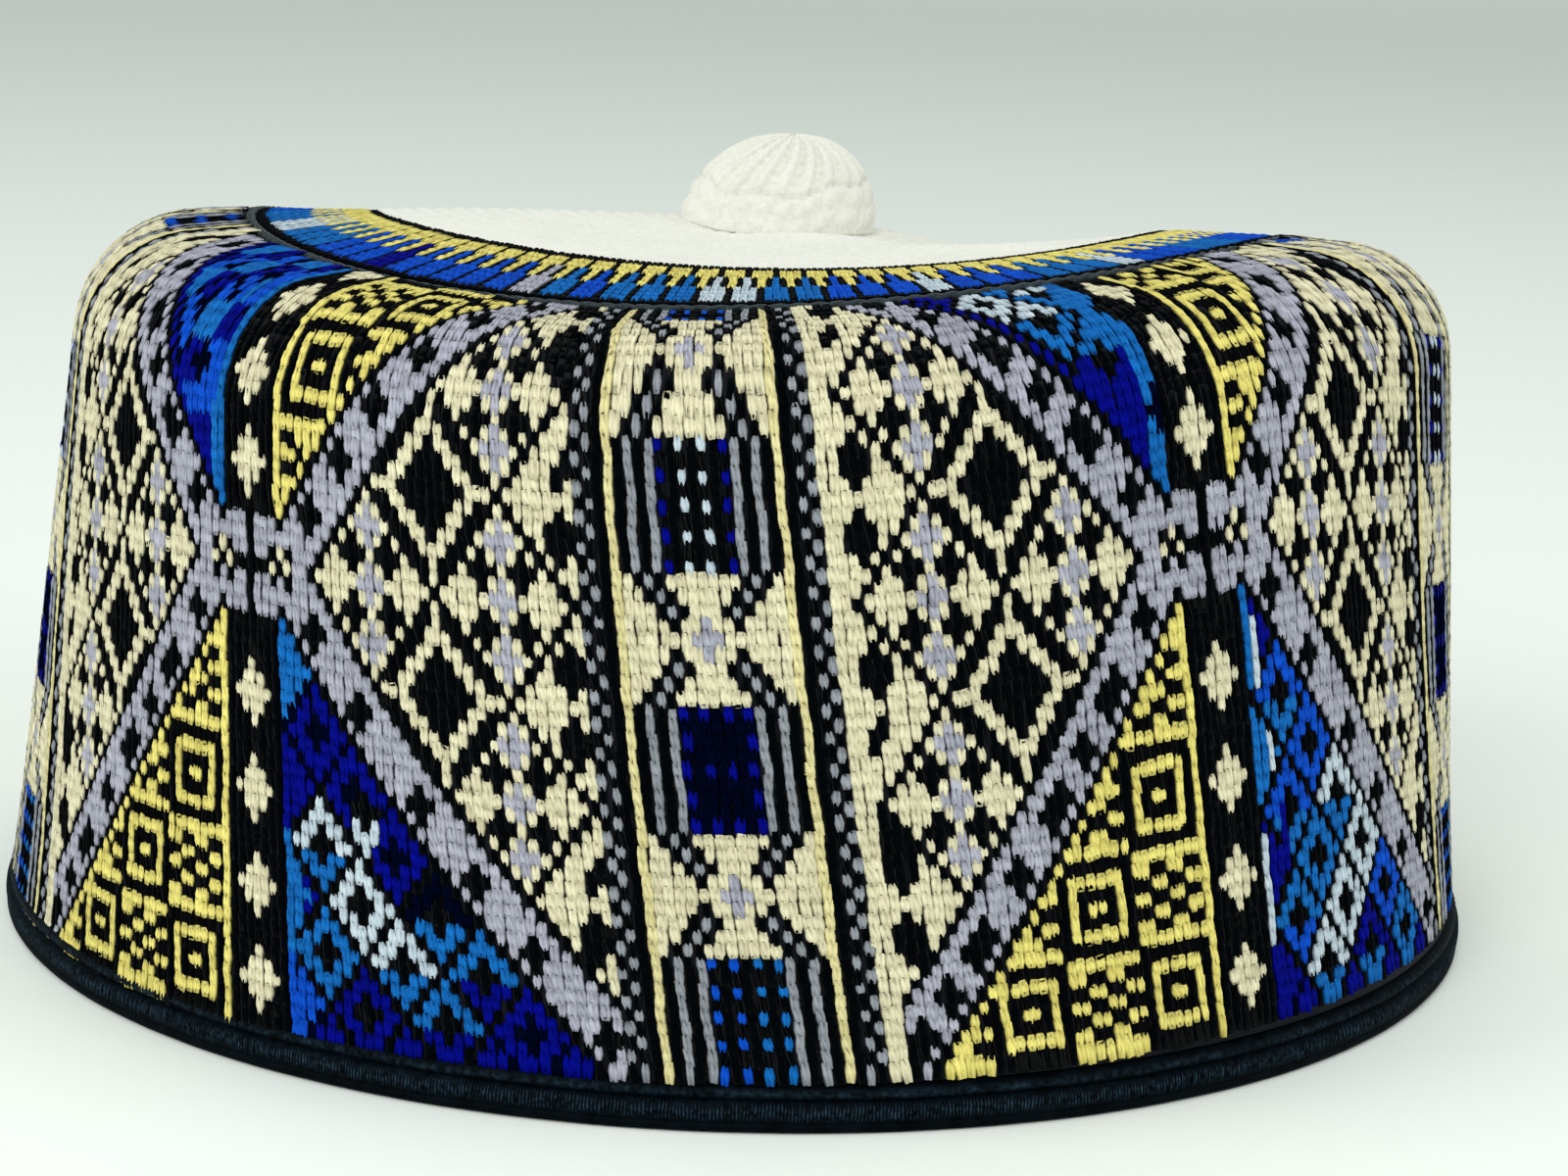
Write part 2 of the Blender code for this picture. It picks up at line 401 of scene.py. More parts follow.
BIG_DIAMONDS = pairs((-26, (26, 40)))
CREAM_DIAMONDS = pairs((-37, (33,)), (-29, (33,)), (-23, (19, 33, 47)), (-15, (5, 19, 33, 47, 61)))
CROSSED_DIAMONDS = pairs((-33, (29, 33, 37)), (-19, (9, 15, 19, 23, 29, 33, 37, 43, 47, 51, 57)))
DOTS = pairs((-36, (30, 36)), (-30, (30, 36)), (-22, (16, 22, 30, 36, 44, 50)),
             (-16, (8, 16, 22, 30, 36, 44, 50, 58)), (-14, (22, 30, 36, 44)))
EDGE_DIAMONDS = pairs((-15, (-2, 12, 26, 40, 54, 68)))
EDGE_CROSSES = pairs((-13, (-4, 0, 10, 14, 24, 28, 38, 42, 52, 56, 66)))
HALF_CROSSES = pairs((-12, (7, 21, 31, 35, 45, 59)))
STAIR_ROWS = (14, 42, 70)


def field_threads(c, r):
    """The field inside the stepped lozenge of one half panel, columns -44 to -9."""
    out = np.zeros(c.shape, int)
    for cc, cr in CREAM_DIAMONDS:
        stamp(out, diamond(c, r, cc, cr) <= 2, CREAM)
    for cc, cr in EDGE_DIAMONDS:
        stamp(out, diamond(c, r, cc, cr) <= 3, CREAM)
        stamp(out, (c == -12) & (np.abs(r - cr) <= 1), CREAM)
    for cc, cr in EDGE_CROSSES:
        stamp(out, diamond(c, r, cc, cr) <= 1, BLACK)
    for start in STAIR_ROWS:
        step = r - start
        stamp(out, (np.abs((c + 15) - step) <= 1) & (step >= 0) & (step <= 4) & (c <= -12), CREAM)
    for cc, cr in HALF_CROSSES:
        stamp(out, ((c == cc) & (np.abs(r - cr) <= 1)) | ((c == cc - 1) & (r == cr)), CREAM)
    for cc, cr in CROSSED_DIAMONDS:
        stamp(out, diamond(c, r, cc, cr) == 2, CREAM)
        stamp(out, diamond(c, r, cc, cr) <= 1, GREY)
    for cc, cr in DOTS:
        stamp(out, (c == cc) & (r == cr), CREAM)
    for cc, cr in BIG_DIAMONDS:
        steps = diamond(c, r, cc, cr)
        tip = (steps == 6) & ((c == cc) | (r == cr))
        stamp(out, (steps <= 5) | tip, CREAM)
        stamp(out, steps <= 3, BLACK)
    return out


# %% Blocks in the yellow triangles
def block_threads(i, j, chequered):
    """One yellow block, 8 columns by 7 rows: i and j count from its lower left corner. A
    nested block is a ring in a ring; a chequered one has bars above and below its checks."""
    depth = np.minimum(np.minimum(i, 7 - i), np.minimum(j, 6 - j))
    nested = np.where(depth % 2 == 1, YELLOW, BLACK)
    checks = np.where(((i // 2) + j) % 2 == 0, YELLOW, BLACK)
    checks = np.where((j == 0) | (j == 6), YELLOW, checks)
    return np.where(chequered, checks, nested)


def yellow_threads(c, r, first_row, start_chequered):
    """A yellow triangle: a line along the black strip, then blocks that step inwards from it."""
    across = c - PANEL_EDGE
    up = r - first_row
    chequered = np.mod(up // 7 + (across - 1) // 8 + start_chequered, 2) == 0
    blocks = block_threads(np.mod(across - 1, 8), np.mod(up, 7), chequered)
    return np.where(across == 0, YELLOW, blocks)


# %% Lozenges in the blue triangles
LOWER_LOZENGES = (
    # column, row, thread of the upper half, thread of the lower half
    (-40, 14, WHITE, SKY), (-36, 10, WHITE, WHITE), (-32, 6, WHITE, SKY), (-40, 6, SKY, SKY),
    (-28, 2, SKY, ROYAL), (-28, 10, NAVY, SKY), (-24, 6, SKY, ROYAL), (-36, 2, ROYAL, ROYAL),
)
UPPER_LOZENGES = (
    (-36, 16, SKY, WHITE), (-32, 12, WHITE, WHITE), (-40, 12, SKY, WHITE), (-40, 20, ROYAL, SKY),
    (-36, 8, SKY, SKY), (-44, 16, SKY, SKY), (-44, 8, SKY, SKY), (-32, 4, BLUE, BLUE),
    (-40, 4, SKY, SKY), (-28, 8, ROYAL, ROYAL),
)
RIGHT_LOZENGES = (
    (-40, 22, BLUE, SKY), (-36, 18, BLUE, BLUE), (-40, 14, BLUE, SKY), (-32, 14, WHITE, SKY),
    (-36, 10, SKY, SKY), (-28, 10, WHITE, WHITE), (-32, 6, WHITE, WHITE), (-40, 6, SKY, BLUE),
    (-36, 2, WHITE, SKY), (-24, 6, BLUE, BLUE), (-28, 2, ROYAL, SKY), (-20, 2, SKY, SKY),
)
OPEN_LOZENGE = ((-36, 16), (-36, 15), (-35, 15), (-35, 14), (-34, 15), (-34, 16))


def packed_lozenges(c, r, middle_row, lozenges):
    """Lozenges four stitches from middle to tip, each with a dark cross inside, packed four
    columns and four rows apart. Along the packing p and q count the two diagonals, so the
    larger of them, steps, draws a lozenge."""
    du, dv = c + 40, r - middle_row
    p = np.mod(du + dv + 4, 8) - 4
    q = np.mod(du - dv + 4, 8) - 4
    steps = np.maximum(np.abs(p), np.abs(q))
    out = np.where(steps <= 1, NAVY, np.where(steps == 4, NAVY, ROYAL))
    for cc, cr, above, below in lozenges:
        near = diamond(c, r, cc, cr)
        stamp(out, near <= 1, BLACK)
        stamp(out, (near == 4) & (out == NAVY), BLACK)
        stamp(out, (near >= 2) & (near <= 3) & (r >= cr), above)
        stamp(out, (near >= 2) & (near <= 3) & (r < cr), below)
    return out, steps


def right_blue_threads(c, r):
    """The lower blue triangle right of the front: paler lozenges, white lines beside the
    black strip, and plain sky and royal blocks between the lines."""
    out = packed_lozenges(c, r, 22, RIGHT_LOZENGES)[0]
    across = c - PANEL_EDGE
    stamp(out, np.abs(r - 18.0) < 3.9 - across, SKY)
    stamp(out, (across == 2) & (np.abs(r - 18) <= 1), WHITE)
    stamp(out, (np.abs(r - 10.0) < 4.0 - across) | (np.abs(r - 2.0) < 4.0 - across), ROYAL)
    stamp(out, (across == 3) & (np.abs(r - 12.5) < 2), ROYAL)
    stamp(out, (across == 0) & (r > 4) & (r < 13), WHITE)
    stamp(out, (across == 0) & (r > 22), SKY)
    stamp(out, (across == 1) & (r > 22) & (r < 28), WHITE)
    return out


def blue_threads(c, r, lower):
    """A blue triangle, counted for the left half panel, below or above its middle row."""
    lozenges = LOWER_LOZENGES if lower else UPPER_LOZENGES
    out, steps = packed_lozenges(c, r, 22 if lower else 20, lozenges)
    across = c - PANEL_EDGE
    if lower:
        stamp(out, diamond(c, r, -35, 17) <= 1, BLACK)
        for cc, cr in OPEN_LOZENGE:
            stamp(out, (c == cc) & (r == cr), WHITE)
        stamp(out, np.abs(r - 26.0) < 3.9 - across, SKY)
        stamp(out, np.abs(r - 18.0) < 4.0 - across, ROYAL)
        stamp(out, np.abs(r - 10.2) < 4.3 - across * 1.9, SKY)
        stamp(out, np.abs(r - 1.6) < 3.6 - across, BLUE)
    else:
        stamp(out, (across < 2) & (steps > 1), SKY)
        stamp(out, (across < 4) & (r > 13) & (r < 19) & (steps > 1), SKY)
        stamp(out, (across >= 2) & (r > 20) & (steps > 1), ROYAL)
    return out


# %% One half panel
CROSSES_UP = (4, 8, 12, 16, 20, 24, 28, 32)
CROSSES_DOWN = (-4, -9, -15, -20, -25, -31)


def panel_threads(c, r, mirrored):
    """The half panel left of the centre strip. Counted from the middle row, v; the number
    step says how far a stitch lies outside the lozenge's inner stepped edge."""
    v = r - MIDDLE_ROW
    step = np.abs(v) - (c + 40)
    out = field_threads(c, r)
    stamp(out, step >= 0, GREY)
    stamp(out, (step == 0) | (step == 7), BLACK)
    for w in CROSSES_UP + CROSSES_DOWN:
        stamp(out, diamond(c, v, abs(w) - 44, w) <= 1, BLACK)
    outside = step > 7
    up = outside & (v > 0)
    down = outside & (v < 0)
    if mirrored:
        yellow = yellow_threads(c, 2 * MIDDLE_ROW - r, 0, 1)
    else:
        yellow = yellow_threads(c, r, 37, 0)
    out = np.where(up, yellow, out)
    out = np.where(down, blue_threads(c, r, not mirrored), out)
    stamp(out, (step == 8) & up, YELLOW)
    return out


# %% The centre strip and the black strip
def centre_threads(c, r):
    """The centre strip, columns -8 to 8: framed boxes of dots and hourglasses by turns. In an
    hourglass, k counts the rows in from its wide ends."""
    local = np.mod(r, 18)
    in_box = local <= 8
    k = np.minimum(local - 9, 17 - local)
    a = np.abs(c)
    frame_lines = np.select([a == 8, a == 7, a == 6, a == 5, a == 4],
                            [STRAW, BLACK, ASH, BLACK, ASH], BLACK)
    box = np.mod(r // 18, 4)
    dot = (a <= 3) & (np.mod(c, 2) == 1) & (np.mod(local, 2) == 0)
    dot = dot & ((box != 1) | (np.mod(local, 4) == 0) | (a == 3))
    ground = np.select([box == 1], [NAVY], BLACK)
    ink = np.select([box == 0, box == 1, box == 2],
                    [np.where(c > 0, SKY, BLUE), ROYAL, np.where(a == 3, ROYAL, WHITE)], BLUE)
    boxed = np.where(a <= 3, np.where(dot, ink, ground), frame_lines)
    glass = np.full(c.shape, CREAM)
    stamp(glass, (a == 6 - k) & (k <= 3), BLACK)
    stamp(glass, (a == 4 - k) & (k <= 2), BLACK)
    stamp(glass, (a == 5 - k) & (k <= 2), ASH)
    stamp(glass, np.abs(local - 13) + a <= 1, GREY)
    stamp(glass, a == 8, STRAW)
    return np.where(in_box, boxed, glass)


STRIP_DIAMONDS = (3, 10, 17, 24, 40, 46, 52, 58)


def strip_threads(c, r):
    """The black strip, 7 columns about column -48, with small cream diamonds, and grey where
    the stepped bands of both panels cross it."""
    out = np.zeros(c.shape, int)
    for row in STRIP_DIAMONDS:
        stamp(out, diamond(c, r, -48, row) <= 2, CREAM)
    band = (r >= 30) & (r <= 36)
    stamp(out, band, GREY)
    stamp(out, band & ((c == -48) | (r == 33)), BLACK)
    return out


def star_threads(out, c, r):
    """The four-armed stars where the bands cross the strip."""
    for cc in (-44, -52, 46):
        stamp(out, ((c == cc) & (r == 33)) | ((np.abs(c - cc) == 1) & (np.abs(r - 33) == 1)), BLACK)
        stamp(out, ((c == cc) & (r == 34)) | ((np.abs(c - cc) == 1) & (r == 33)), CREAM)
        stamp(out, (c == cc) & (r == 32), GREY)
    return out


# %% The whole chart
def chart_threads():
    """The 98 column repeat, rows from the rim upwards. The right half panel is the left one
    turned half round and moved by two columns, with two plain cream columns between."""
    c, r = np.meshgrid(np.arange(FIRST_COLUMN, FIRST_COLUMN + REPEAT_COLUMNS), np.arange(ROWS))
    out = np.zeros(c.shape, int)
    left = (c >= PANEL_EDGE) & (c <= -9)
    right = c >= 9
    out = np.where(left, panel_threads(c, r, False), out)
    out = np.where(right, panel_threads(2 - c, 2 * MIDDLE_ROW - r, True), out)
    v = r - MIDDLE_ROW
    for w in CROSSES_UP + CROSSES_DOWN:
        stamp(out, right & (diamond(c, v, 46 - abs(w), w) <= 1), BLACK)
    stamp(out, (c == 12) | (c == 13), CREAM)
    stamp(out, (c == -9) | (c == 9) | (np.abs(c + 10.5) < 1) | (np.abs(c - 10.5) < 1), BLACK)
    stamp(out, (np.abs(c) == 10) & (r % 2 == 0), ASH)
    stamp(out, (np.abs(c) == 11) & (r % 2 == 1), ASH)
    out = np.where(np.abs(c) <= 8, centre_threads(c, r), out)
    out = np.where(c <= -45, strip_threads(c, r), out)
    return star_threads(out, c, r)


chart = chart_threads()
names = ("black", "cream", "grey", "yellow", "royal", "sky", "white", "navy", "blue", "straw",
         "ash")
print("stitches in one repeat:", {n: int((chart == i).sum()) for i, n in enumerate(names)})

# %% The five repeats
def whole_cap_chart():
    """The repeat laid five times. In the second one, right of the front, the lower blue
    triangle has paler lozenges. In the last one, left of the front, the upper blue triangle
    is worked in plain blues, with a sky line beside the black strip."""
    out = np.tile(chart, (1, REPEATS))
    rows, columns = np.mgrid[0:ROWS, 0:REPEAT_COLUMNS]
    c, v = columns + FIRST_COLUMN, rows - MIDDLE_ROW
    inside = (c >= PANEL_EDGE) & (c <= -9) & (v < 0) & (-v - (c + 40) > 7)
    second = out[:, REPEAT_COLUMNS:2 * REPEAT_COLUMNS]
    second[inside] = right_blue_threads(c, rows)[inside]
    c, v = 2 - c, -v
    inside = (c >= PANEL_EDGE) & (v < 0) & (-v - (c + 40) > 8)
    last = out[:, -REPEAT_COLUMNS:]
    mix = np.mod(rows // 3 + c // 4, 3)
    patch = inside & (mix < 2) & (rows > 42)
    stamp(last, inside & (last == BLACK), NAVY)
    stamp(last, inside & (last != NAVY), ROYAL)
    stamp(last, patch & (last == ROYAL), BLUE)
    stamp(last, patch & (rows > 47) & (c > PANEL_EDGE + 2) & (mix == 0), SKY)
    stamp(last, inside & ((c == PANEL_EDGE) | ((c == PANEL_EDGE + 1) & (rows < 44))), SKY)
    return out


cap_chart = whole_cap_chart()

# %% [markdown]
# Hand-worked rows are never quite level, and the pattern leans over as it climbs. This
# mapping lays chart columns and rows on the cloth with the drift of the real cap.

# %% Chart to cloth
STITCH_TURN = 2 * math.pi / (REPEATS * REPEAT_COLUMNS)
CROWN_ROW = 57.0
START_TURN = -0.0435
SPREAD_ASIDE, SPREAD_BEHIND = 0.0222, 0.0070
LEAN_OVER = 0.159
CURL, CURL_FROM = 0.1127, 0.72
FIRST_ROW_AT, RIM_SLANT = 0.00600, 0.00176
FIRST_ROW_LONGER, FIRST_ROW_SPREAD = 0.0006, 0.8
ROW_HEIGHT, ROW_GROWTH, SHOULDER_GROWTH = 0.00136914, 0.00000227, 0.00000681
SHOULDER_ROW = 45.0
TALLER_RIGHT, TALLER_LEFT, TALLER_AT, TALLER_SPREAD = 0.1417, 0.0260, 45.0, 30.0
STRIP_AHEAD = 2.1


def chart_to_cloth(column, row):
    """Column and row, both with fractions, to turn and distance along the cloth. In the
    centre strip four rows over the shoulder are taller, so it runs ahead of its neighbours."""
    theta = column * STITCH_TURN
    aside = np.abs(np.mod(column + REPEAT_COLUMNS / 2, REPEAT_COLUMNS) - REPEAT_COLUMNS / 2)
    row = row + STRIP_AHEAD * eased(row, SHOULDER_ROW, 4.0) * np.clip(9.0 - aside, 0.0, 1.0)
    climb = row / CROWN_ROW
    turn = (START_TURN + theta + SPREAD_ASIDE * np.sin(theta) - SPREAD_BEHIND * (1 - np.cos(theta))
            + LEAN_OVER * (0.5 - climb) + CURL * np.clip(climb - CURL_FROM, 0.0, 1.0) ** 2)
    degrees = np.degrees(np.mod(turn + math.pi, 2 * math.pi) - math.pi)
    tall = (1 + TALLER_RIGHT * bell(degrees, TALLER_AT, TALLER_SPREAD)
            + TALLER_LEFT * bell(degrees, -TALLER_AT, TALLER_SPREAD))
    start = (FIRST_ROW_AT + RIM_SLANT * np.sin(turn)
             - FIRST_ROW_LONGER * np.exp(-np.maximum(row, 0) / FIRST_ROW_SPREAD))
    s = (start + (ROW_HEIGHT * row + ROW_GROWTH * row ** 2) * tall
         + SHOULDER_GROWTH * np.clip(row - SHOULDER_ROW, 0, 20) ** 2)
    return turn, s


# %% [markdown]
# ## Stitches
# One chain stitch is a link of two strands: narrow where it comes out of the link below,
# widest near its middle. We make one plain link of 26 triangles and copy it to every
# place of the chart as whole arrays. Links lie a little over their neighbours, so a column
# of one thread reads as one braid. The dark stitches lie flat and need fewer faces.

# %% The link
LINK_SECTIONS = (
    # along the stitch, share of its width, share of its height, share left between the strands
    (-1.00, 0.80, 0.72, 0.24), (0.00, 1.00, 1.04, 0.86), (1.00, 0.88, 0.68, 0.62),
)
LINK_ACROSS = ((1.0, 0.30), (0.60, 0.96), (0.0, None), (-0.60, 0.96), (-1.0, 0.30))
FLAT_SECTIONS = ((-1.00, 0.90, 0.80, 1.0), (1.00, 0.95, 0.85, 1.0))
FLAT_ACROSS = ((1.0, 0.45), (0.55, 1.0), (-0.55, 1.0), (-1.0, 0.45))
SHADE_MEAN, SHADE_SPREAD = 0.64, 0.07
MERGED_FLANK = 0.36
# Families of colours: black 0, pale threads 1, blues 2.
FAMILIES = np.ones(11, int)
FAMILIES[BLACK] = 0
FAMILIES[[ROYAL, SKY, NAVY, BLUE]] = 2
FREE_END = 0.74


def link(sections, across):
    """Skin the cross-section through the sections and close both ends. The ends bulge, so
    they look round. Returns points as (across, along, height) and the triangles."""
    n, last = len(across), len(sections) - 1
    points = []
    for k, (along, wide, high, between) in enumerate(sections):
        bulge = 0.16 if k == last else (-0.10 if k == 0 else 0.0)
        points += [(x * wide, along + bulge * (1 - x * x), (between if h is None else h) * high)
                   for x, h in across]
    faces = []
    for k in range(last):
        for i in range(n):
            j = (i + 1) % n
            a, b = k * n, (k + 1) * n
            faces += [(a + i, a + j, b + j), (a + i, b + j, b + i)]
    for i in range(1, n - 1):
        faces += [(0, i + 1, i), (last * n, last * n + i, last * n + i + 1)]
    return np.array(points), np.array(faces)


CHAIN_LINK = link(LINK_SECTIONS, LINK_ACROSS)
FLAT_LINK = link(FLAT_SECTIONS, FLAT_ACROSS)
# Form, half width in columns, half length in rows, height, depth in the cloth, and the
# shares of width and length that are left at a free side and a free end.
FLAT_SHAPE = (FLAT_LINK, 0.56, 0.62, 0.00042, 0.00030, (1.0, 1.0))
CHAIN_SHAPE = (CHAIN_LINK, 0.58, 0.64, 0.00050, 0.00030, (0.87, 0.84))


def copies(form, n, rng, heights):
    """Faces, UV and shade for n copies of a link. The shade is one number per stitch,
    lowered towards the flanks, where little light comes in between the threads."""
    points, faces = form
    all_faces = (np.arange(n)[:, None, None] * len(points) + faces[None]).reshape(-1, 3)
    uv = np.stack([points[None, :, 0] * 0.5 + rng.random(n)[:, None] * 3,
                   points[None, :, 1] * 0.5 + rng.random(n)[:, None] * 3], -1)
    own = np.clip(rng.normal(SHADE_MEAN, SHADE_SPREAD, n), 0, 1)[:, None]
    # Painted shade: the colour number falls towards each stitch's flanks and low points, where little
    # light falls between the threads.
    shade = own * (0.25 + 0.75 * np.clip(heights * 1.15, 0, 1))
    return all_faces, uv.reshape(-1, 2), shade.ravel()


def joined(columns, rows):
    """Whether the stitches left, right, below and above are of the same family of colours."""
    family = FAMILIES[cap_chart]
    c = (columns - FIRST_COLUMN).astype(int)
    r = rows.astype(int)
    own = family[r, c]
    return (family[r, c - 1] == own, family[r, (c + 1) % family.shape[1]] == own,
            family[np.maximum(r - 1, 0), c] == own, family[np.minimum(r + 1, ROWS - 1), c] == own)


def lay_stitches(columns, rows, form, width, length, height, sunk, free, seed):
    """Copies the link to every (column, row). A stitch reaches over a neighbour of its own
    family and merges with it, and stops short, by the shares in free, of any other. Each copy
    is turned, sized and shifted a little by chance, then laid on the cloth."""
    rng = np.random.default_rng(seed)
    n = len(columns)
    x, y, z = (form[0][None, :, k] for k in range(3))
    left, right, below, above = (same[:, None] for same in joined(columns, rows))
    side = np.where(x > 0, right, left)
    end = np.where(y > 0, above, below)
    at_end = np.abs(y) > 0.9
    x = x * np.where(at_end & ~end, FREE_END, 1.0)
    tilt = rng.normal(0.0, 0.11, n)[:, None]
    wide = (width * (1 + rng.normal(0.0, 0.06, n)))[:, None] * np.where(side, 1.0, free[0])
    long_ = (length * (1 + rng.normal(0.0, 0.06, n)))[:, None] * np.where(end, 1.0, free[1])
    high = (height * (1 + rng.normal(0.0, 0.06, n)))[:, None]
    across, along = x * wide, y * long_
    sway = 0.13 * np.sin(0.8 * rows + 2.1 * columns) * np.sin(0.23 * rows - 0.9 * columns)
    column = (columns + sway + rng.normal(0.0, 0.05, n))[:, None] + across + tilt * along
    row = rows[:, None] + 0.5 + rng.normal(0.0, 0.06, n)[:, None] + along - tilt * across
    share = np.where(at_end, np.where(end, z * 1.25, np.maximum(z, 0.5)), z)
    share = share + np.where((np.abs(form[0][None, :, 0]) > 0.6) & side, MERGED_FLANK, 0.0)
    lift = share * high - sunk
    turn, s = chart_to_cloth(column, row)
    places = cloth_point(turn, s, lift + softness(turn, s))
    return (places.reshape(-1, 3), *copies(form, n, rng, share))


# %% Thread colours
THREADS = (
    # thread, name, dark shade, light shade, how much its surface shines, its fuzz
    (BLACK, "black", rgb(0, 0, 0), rgb(4, 7, 10), 0.0, 0.02),
    (CREAM, "cream", rgb(126, 116, 84), rgb(224, 219, 185), 0.15, 0.0),
    (GREY, "grey", rgb(48, 50, 62), rgb(174, 175, 188), 0.15, 0.0),
    (YELLOW, "yellow", rgb(120, 100, 22), rgb(232, 221, 124), 0.15, 0.0),
    (ROYAL, "royal", rgb(0, 0, 34), rgb(0, 7, 132), 0.03, 0.0),
    (SKY, "sky", rgb(0, 26, 76), rgb(16, 108, 188), 0.06, 0.0),
    (WHITE, "white", rgb(84, 108, 132), rgb(196, 210, 216), 0.15, 0.0),
    (NAVY, "navy", rgb(0, 0, 5), rgb(3, 7, 28), 0.0, 0.0),
    (BLUE, "blue", rgb(0, 10, 74), rgb(6, 80, 204), 0.05, 0.0),
    (STRAW, "straw", rgb(124, 112, 60), rgb(224, 216, 160), 0.15, 0.0),
    (ASH, "ash", rgb(28, 32, 38), rgb(150, 155, 162), 0.15, 0.0),
)
MOST_IN_A_PIECE = 5000
NEAREST_TO_CORD = 0.0006


def stitch_places(thread):
    """All columns and rows of a thread round the cap, below the cord."""
    rows, columns = np.nonzero(cap_chart == thread)
    columns = (columns + FIRST_COLUMN).astype(float)
    turn, s = chart_to_cloth(columns, rows + 0.5)
    keep = s + NEAREST_TO_CORD < cloth_length(turn) - CORD_ROOM
    return columns[keep], rows[keep].astype(float)


for thread, name, dark, light, shine, fuzz in THREADS:
    columns, rows = stitch_places(thread)
    shape = FLAT_SHAPE if thread == BLACK else CHAIN_SHAPE
    finish = thread_finish(name + "_thread", dark, light, shine, fuzz)
    parts = [np.ones(len(columns), bool)]
    if len(columns) > MOST_IN_A_PIECE:
        parts = [columns < np.median(columns), columns >= np.median(columns)]
    for k, part in enumerate(parts):
        made = lay_stitches(columns[part], rows[part], *shape, 100 + thread + 20 * k)
        label = "stitches_%s_%d" % (name, k + 1)
        new_piece(label, *made[:2], finish, "side_wall", *made[2:])

# %% [markdown]
# Under the stitches is the cotton ground cloth. It shows only as dark points between the
# threads and, from below, as the plain inside of the cap. It is one closed skin with its
# real thickness, so that the cap is truly hollow.

# %% Ground cloth
GROUND_DEPTH = 0.00036
GROUND_DARK, GROUND_LIGHT = rgb(2, 3, 8), rgb(18, 20, 30)
THREADS_PER_METRE = 1400.0


def ground_cloth():
    """A closed ring: the outside profile from hem to cord, then the inside profile back. The
    outside lies GROUND_DEPTH under the cap's own surface, so that the stitches stand on it."""
    around, up = 240, 34
    turn = circle(around)
    start = (RIM_HEIGHT + GAP) / math.cos(LEAN_ANGLE)
    share = np.linspace(0, 1, up)[:, None]
    s = start + (cloth_length(turn) - CORD_ROOM - start) * share
    outer = cloth_point(turn + 0 * s, s, -GROUND_DEPTH + softness(turn, s))
    inner = cloth_point(turn + 0 * s, s, -WALL_CLOTH + softness(turn, s))
    points = np.concatenate([outer, inner[::-1]])
    u = np.concatenate([turn + 0 * s, (turn + 0 * s)[::-1]]) * WALL_RADIUS
    v = np.concatenate([s, -s[::-1]])
    return points, grid_faces(2 * up, around, True, True), np.stack([u, v], -1)


def cloth_finish(name):
    """Dark plain weave: two sets of threads crossing, read from the piece's own UV map."""
    finish = Finish(name, GROUND_LIGHT, 0.85, 0.2)
    weave = [(along * (THREADS_PER_METRE * math.pi)).sine().absolute() for along in finish.uv()]
    weave = (weave[0] + weave[1]) * 0.5
    mottle = finish.noise(260.0, 3.0)
    finish.colour(weave * 0.5 + mottle * 0.5, GROUND_DARK, GROUND_LIGHT)
    finish.bump(weave, 0.00008, 0.5)
    return finish.material


points, faces, uv = ground_cloth()
ground = new_piece("ground_cloth", points, faces[:, ::-1], cloth_finish("ground_cotton"),
                   "side_wall", uv)
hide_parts("side_wall")

# %% [markdown]
# ## The hem
# The rim is bound with dark thread in two rows: stitches that run along the edge above, and
# below them upright satin stitches that wrap over the rolled edge. The wrapping is modelled
# as ridges on the hem's own surface, because every ridge shows in the light.

# %% Bound hem
HEM_OUTLINE = (
    # distance out from the rim circle in mm, height in mm, how much the wrapping shows
    (-3.2, 0.00, 0.0), (-0.7, 0.00, 0.0), (-0.15, 0.20, 0.2), (0.10, 0.60, 0.3), (0.04, 1.05, 0.2),
    (-0.16, 1.22, 0.1), (0.04, 1.45, 0.9), (0.12, 2.10, 1.0), (0.06, 2.80, 1.0), (-0.16, 3.25, 0.8),
    (-0.75, 3.45, 0.1), (-0.85, 3.60, 0.0), (-0.34, 3.80, 0.5), (-0.18, 4.25, 0.8),
    (-0.32, 4.75, 0.5), (-0.80, 5.20, 0.1), (-3.40, 5.20, 0.0), (-3.40, 2.00, 0.0),
)
HEM_STITCHES = 760
HEM_GROOVE = 3.5
ROLL_AT, STRIP_AT = 0.0024, 0.0043
RIDGE_HEIGHT = 0.00016
FOOT = 0.01


def bound_hem():
    """The hem's outline carried round the rim. The lower roll carries upright ridges, one
    per stitch, and the upper one slanted ridges that are two and a half times as long."""
    out, high, show = (np.array(column)[:, None] for column in zip(*HEM_OUTLINE))
    around = HEM_STITCHES * 3
    turn = circle(around)
    lower = high < HEM_GROOVE
    phase = turn * HEM_STITCHES / 2
    ridge = np.abs(np.sin(phase + 0.5 * np.sin(11 * turn)))
    slanted = np.abs(np.sin(turn * HEM_STITCHES / 5 + high * 1.6))
    rise = np.where(lower, ridge, slanted) * show * RIDGE_HEIGHT
    wander = 0.00012 * np.sin(23 * turn + 0.7) + 0.00008 * np.sin(57 * turn)
    z = high / 1000 + np.where(high < FOOT, 0.0, wander * show * 0.6)
    radius = RIM_RADIUS + out / 1000 + rise - 0.0001
    radius = radius - WALL_LEAN_IN * np.maximum(z - 0.003, 0.0)
    points = place(turn + 0 * z, radius, z)
    u = np.broadcast_to(turn * RIM_RADIUS, radius.shape)
    v = np.broadcast_to(high / 1000, radius.shape)
    return points, grid_faces(len(out), around, True, True), np.stack([u, v], -1)


